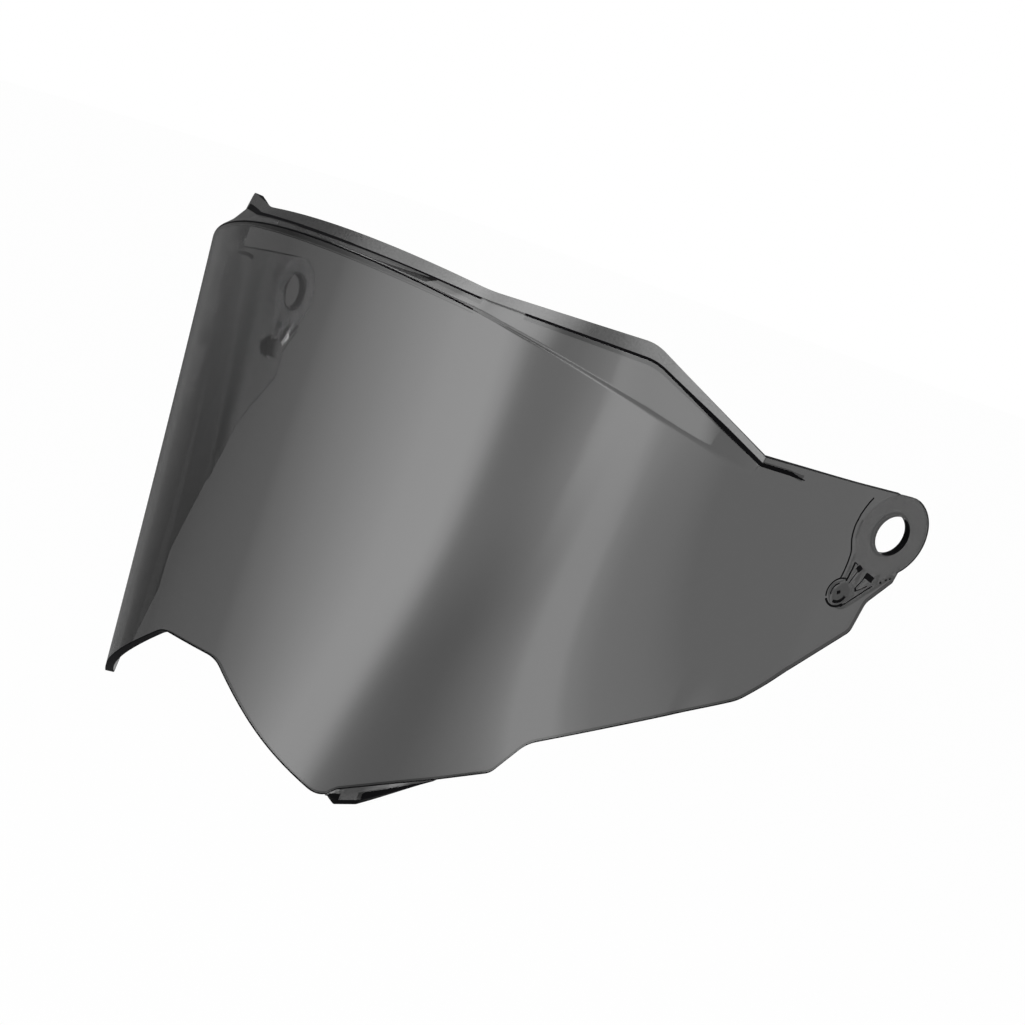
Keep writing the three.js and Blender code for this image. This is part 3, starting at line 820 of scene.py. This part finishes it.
def plate_outline(rear_radius, top, grow):
    pad, boss = pad_radius + grow, boss_radius + grow
    strut = peg_place.x - strut_offset - grow
    to_corner = web_corner - peg_place
    corner_turn = math.atan2(to_corner.y, to_corner.x)
    rear_start, rear_end = math.atan2(web_corner.y, web_corner.x), math.asin(top / rear_radius)
    front_start = math.pi - math.asin(min(top / pad, 1))
    front_end = 2 * math.pi - math.acos(strut / pad)
    boss_start = math.acos((strut - peg_place.x) / boss)
    boss_end = 2 * math.pi + corner_turn - math.acos(boss / to_corner.length)
    return (
        arc(middle, rear_radius, rear_start, rear_end, rim_steps)
        + arc(middle, pad, front_start, front_end, rim_steps)
        + arc(peg_place, boss, boss_start, boss_end, boss_rim_steps)
    )


def cut_sheet(name, outlines, low, high):
    bpy.ops.curve.primitive_bezier_circle_add()
    drawn = bpy.context.object
    drawn.name = name
    drawn.data.dimensions = "2D"
    drawn.data.fill_mode = "BOTH"
    drawn.data.extrude = (high - low) / 2
    drawn.data.splines.clear()
    for outline in outlines:
        spline = drawn.data.splines.new("POLY")
        spline.points.add(len(outline) - 1)
        for place, point in zip(spline.points, outline):
            place.co = (point.x, point.y, 0, 1)
        spline.use_cyclic_u = True
    bpy.ops.object.convert(target="MESH")
    cut = bpy.context.object
    bpy.ops.object.mode_set(mode="EDIT")
    bpy.ops.mesh.select_all(action="SELECT")
    bpy.ops.mesh.remove_doubles(threshold=cut_merge_gap)
    bpy.ops.mesh.normals_make_consistent(inside=False)
    bpy.ops.object.mode_set(mode="OBJECT")
    cut.data.transform(Matrix.Translation((0, 0, (low + high) / 2)))
    return cut


middle = Vector((0, 0))
arm_top_in_plane = arm_top / arm_up.z
seat_outline = plate_outline(disc_radius + cutter_overlap, arm_top_in_plane + cutter_overlap, seat_gap)
bore_outline = ring(middle, bore_radius, bore_steps)
for pivot in arm_pivots.values():
    seat_cutter = cut_sheet("seat_cutter", [seat_outline], -sheet - cutter_overlap, -skin)
    bore_cutter = cut_sheet("bore_cutter", [bore_outline], -cutter_reach, cutter_reach)
    for cutter, cut_slot in ((seat_cutter, smoke_slot), (bore_cutter, rim_slot)):
        add_finishes(cutter, smoke, dark_edge_and_painted_shade)
        for polygon in cutter.data.polygons:
            polygon.material_index = cut_slot
        lay_on_arm(cutter, pivot)
        bpy.ops.object.select_all(action="DESELECT")
        bpy.context.view_layer.objects.active = shield
        shield.select_set(True)
        bore = shield.modifiers.new("bore", "BOOLEAN")
        bore.operation = "DIFFERENCE"
        bore.solver = "EXACT"
        bore.object = cutter
        bpy.ops.object.modifier_apply(modifier="bore")
        bpy.data.objects.remove(cutter)

# Thin black strips on the arm's outer face follow the ribs moulded behind it, and a black ring runs round
# the bore's inner end; the wide strips at the pockets' ends and the thick crescent by the peg are painted
# shadow of the deep pockets and of the peg. Places and widths are in millimetres, back along the arm and up
# from the pivot.
strip_sink = 0.00015
ring_depth = 0.0001
strip_rise = 0.00003
strip_arc_steps = 24
smooth_angle = math.radians(32)
peg_middle = (-9.4, -17.5)


def ribbon(points, width):
    points = [Vector(point) / 1000 for point in points]
    left, right = [], []
    for index, point in enumerate(points):
        way = (points[min(index + 1, len(points) - 1)] - points[max(index - 1, 0)]).normalized()
        side = Vector((-way.y, way.x)) * width / 2000
        left.append(point + side)
        right.append(point - side)
    return left + right[::-1]


def ring_places(place, radius, start, end):
    return [
        (place[0] + radius * math.cos(turn), place[1] + radius * math.sin(turn))
        for turn in (
            math.radians(start + (end - start) * step / strip_arc_steps) for step in range(strip_arc_steps + 1)
        )
    ]


def join_pieces(pieces):
    bpy.ops.object.select_all(action="DESELECT")
    for piece in pieces:
        piece.select_set(True)
    bpy.context.view_layer.objects.active = pieces[0]
    bpy.ops.object.join()
    return pieces[0]


plate_edge = [
    ribbon([
        (-11.2, 8.5), (-11.9, 7.2), (-12.4, 5.8), (-13, 3.8), (-13.2, 2), (-13.3, 0.4), (-13.1, -1.3),
        (-12.6, -3.2), (-11.8, -4.8), (-11.1, -6.1), (-10.8, -7.6), (-10.6, -9.6), (-10.6, -11.6),
        (-10.8, -14),
    ], 0.42),
    ribbon([(-7, -21.1), (-5.3, -19.6), (-3.3, -17.6), (-1.3, -15.6), (0.4, -14)], 0.3),
    ribbon([(2.3, -12.8), (2.9, -12.5)], 0.6),
    ribbon([(3.7, -11.8), (4.3, -11.5)], 0.5),
    ribbon([(4.9, -11.2), (5.4, -11.0)], 0.5),
    ribbon(ring_places((0, 0), 11.15, -55, 5), 0.35),
    ribbon(ring_places((0, 0), 11.15, 5, 71), 0.35),
]
pocket_edges_and_painted_shade = [
    ribbon([(-8.2, -8.9), (-8.3, -11), (-8.6, -14.2)], 0.5),
    ribbon([(-8.2, -8.9), (-7, -9.4)], 0.25),
    ribbon([(-6.2, -11), (-6.8, -12.6), (-7.4, -14.6)], 0.25),
    # Painted shadow: these two wide strips stand in for the shade deep in the pockets' ends.
    ribbon([(-6.85, -9.8), (-5.35, -10.7)], 1.5),
    ribbon([(-3.3, -11.55), (-0.2, -12.5)], 1.6),
    ribbon([(-3.2, -12.3), (-3.9, -13.9), (-4.8, -15.5)], 0.3),
    ribbon([(-4.8, -15.4), (-4.2, -16.3)], 0.55),
    ribbon([(-4.1, -16.2), (-2.6, -15.3), (-1.2, -14.3)], 0.2),
]
boss_edges_and_painted_shadow = [
    ribbon(ring_places(peg_middle, 3.9, 75, 205), 0.4),
    ribbon(ring_places(peg_middle, 3.9, 215, 315), 0.6),
    # Painted shadow: this thick crescent stands in for the shade beside the peg.
    ribbon(ring_places(peg_middle, 2.6, 255, 345), 0.8),
    ribbon(ring_places(peg_middle, 2.5, 110, 200), 0.35),
    ribbon([(-9.9, -17.7), (-9.0, -17.3)], 0.9),
]
bore_ring = [ribbon(ring_places((0, 0), 5.9, start, start + 180), 0.6) for start in (0, 180)]
faces = [(outline, -strip_sink, strip_rise) for outline in plate_edge + pocket_edges_and_painted_shade + boss_edges_and_painted_shadow]
faces += [(outline, -sheet - strip_rise, -sheet + ring_depth) for outline in bore_ring]
pieces = [shield]
for pivot in arm_pivots.values():
    for outline, low, high in faces:
        groove = cut_sheet("groove", [outline], low, high)
        add_finishes(groove, smoke, dark_edge_and_painted_shade)
        for polygon in groove.data.polygons:
            polygon.material_index = rim_slot
        lay_on_arm(groove, pivot)
        pieces.append(groove)
join_pieces(pieces)
bpy.ops.object.shade_smooth_by_angle(angle=smooth_angle)
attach(shield, "root")
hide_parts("shield")

# Each pivot plate is moulded in thin smoke polycarbonate and lies in the seat of its arm.
# It has a ring round the bore, two struts with open pockets and a boss for the peg. The bore and the boss
# have black sides.
peg_shank = 0.0019
boss_rise = 0.0008
boss_steps = 48
plate_gap = 0.00002
plate_inset = 0.0002
bore_lap = 0.00003
bore_side = bore_radius + 0.0015
near_boss = boss_radius + 0.001
plate_finish = finish_smoke("thin_smoke", tint=0.75, roughness=0.02)


def point_at(centre, radius, degrees):
    return centre + radius * Vector((math.cos(math.radians(degrees)), math.sin(math.radians(degrees))))


front_pocket = [
    point_at(peg_place, near_boss, 88), point_at(middle, pad_radius, -123.5),
    point_at(middle, pad_radius, -107.5), point_at(peg_place, near_boss, 60),
]
rear_pocket = [
    point_at(peg_place, near_boss, 37), point_at(middle, pad_radius, -95),
    point_at(middle, pad_radius, -79), Vector((0.0021, -0.015)), point_at(peg_place, near_boss, 18),
]
bore_edge = ring(middle, bore_radius - bore_lap, bore_steps)
peg_hole = ring(peg_place, peg_shank, boss_steps)
boss_edge = ring(peg_place, boss_radius, boss_steps)
outline = plate_outline(disc_radius - plate_inset, arm_top_in_plane - plate_inset, 0)
plate_edges = [outline, bore_edge, peg_hole, front_pocket, rear_pocket]
for side, pivot in arm_pivots.items():
    pieces = [
        cut_sheet("plate", plate_edges, -sheet, -skin - plate_gap),
        cut_sheet("boss", [boss_edge, peg_hole], -sheet - boss_rise, -sheet),
    ]
    for index, piece in enumerate(pieces):
        add_finishes(piece, plate_finish, dark_edge_and_painted_shade)
        for polygon in piece.data.polygons:
            on_side = abs(polygon.normal.z) < 0.5
            if on_side and (index == 1 or polygon.center.length < bore_side):
                polygon.material_index = rim_slot
        lay_on_arm(piece, pivot)
    plate = join_pieces(pieces)
    plate.name = side + "_ribbed_plate"
    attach(plate, "root")
    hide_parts(side + "_pivot_plate")

# Each detent peg is turned from near-black plastic. Its head runs in the helmet's detent and its shank is
# pressed in the boss of the plate, with a countersink in its outer end.
peg_head = 0.0029
peg_head_rise = 0.0018
countersink = 0.0007
peg_steps = 48
head_foot = -sheet - boss_rise
peg_outer = -skin - seat_gap
peg_profile = [
    (0.0002, peg_outer - countersink), (0.0009, peg_outer - 0.0005), (0.0013, peg_outer),
    (0.0017, peg_outer), (peg_shank, peg_outer - 0.0002), (peg_shank, head_foot), (0.0026, head_foot),
    (peg_head, head_foot - 0.0003), (peg_head, head_foot - 0.0012), (0.0027, head_foot - 0.0016),
    (0.0023, head_foot - peg_head_rise), (0.0002, head_foot - peg_head_rise),
]
peg_merge_gap = 0.000005
peg_finish = finish_dark(
    "turned_peg", (0.03, 0.03, 0.032), roughness=0.16, spread=0.2, ior=1.5,
    grain_scale=700, grain_strength=0.3,
)

for side, pivot in arm_pivots.items():
    bpy.ops.mesh.primitive_grid_add(x_subdivisions=peg_steps, y_subdivisions=len(peg_profile) - 1, size=1)
    peg = bpy.context.object
    peg.name = side + "_turned_peg"
    for vertex in peg.data.vertices:
        turn = 2 * math.pi * round((vertex.co.x + 0.5) * peg_steps) / peg_steps
        radius, depth = peg_profile[round((vertex.co.y + 0.5) * (len(peg_profile) - 1))]
        vertex.co = (
            peg_place.x + radius * math.cos(turn), peg_place.y + radius * math.sin(turn), depth
        )
    peg.data.transform(pivot)
    bpy.ops.object.mode_set(mode="EDIT")
    bpy.ops.mesh.select_all(action="SELECT")
    bpy.ops.mesh.remove_doubles(threshold=peg_merge_gap)
    bpy.ops.mesh.fill_holes(sides=0)
    bpy.ops.mesh.normals_make_consistent(inside=False)
    bpy.ops.object.mode_set(mode="OBJECT")
    add_finishes(peg, peg_finish)
    bpy.ops.object.shade_smooth_by_angle(angle=smooth_angle)
    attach(peg, "root")
    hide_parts(side + "_detent_peg")
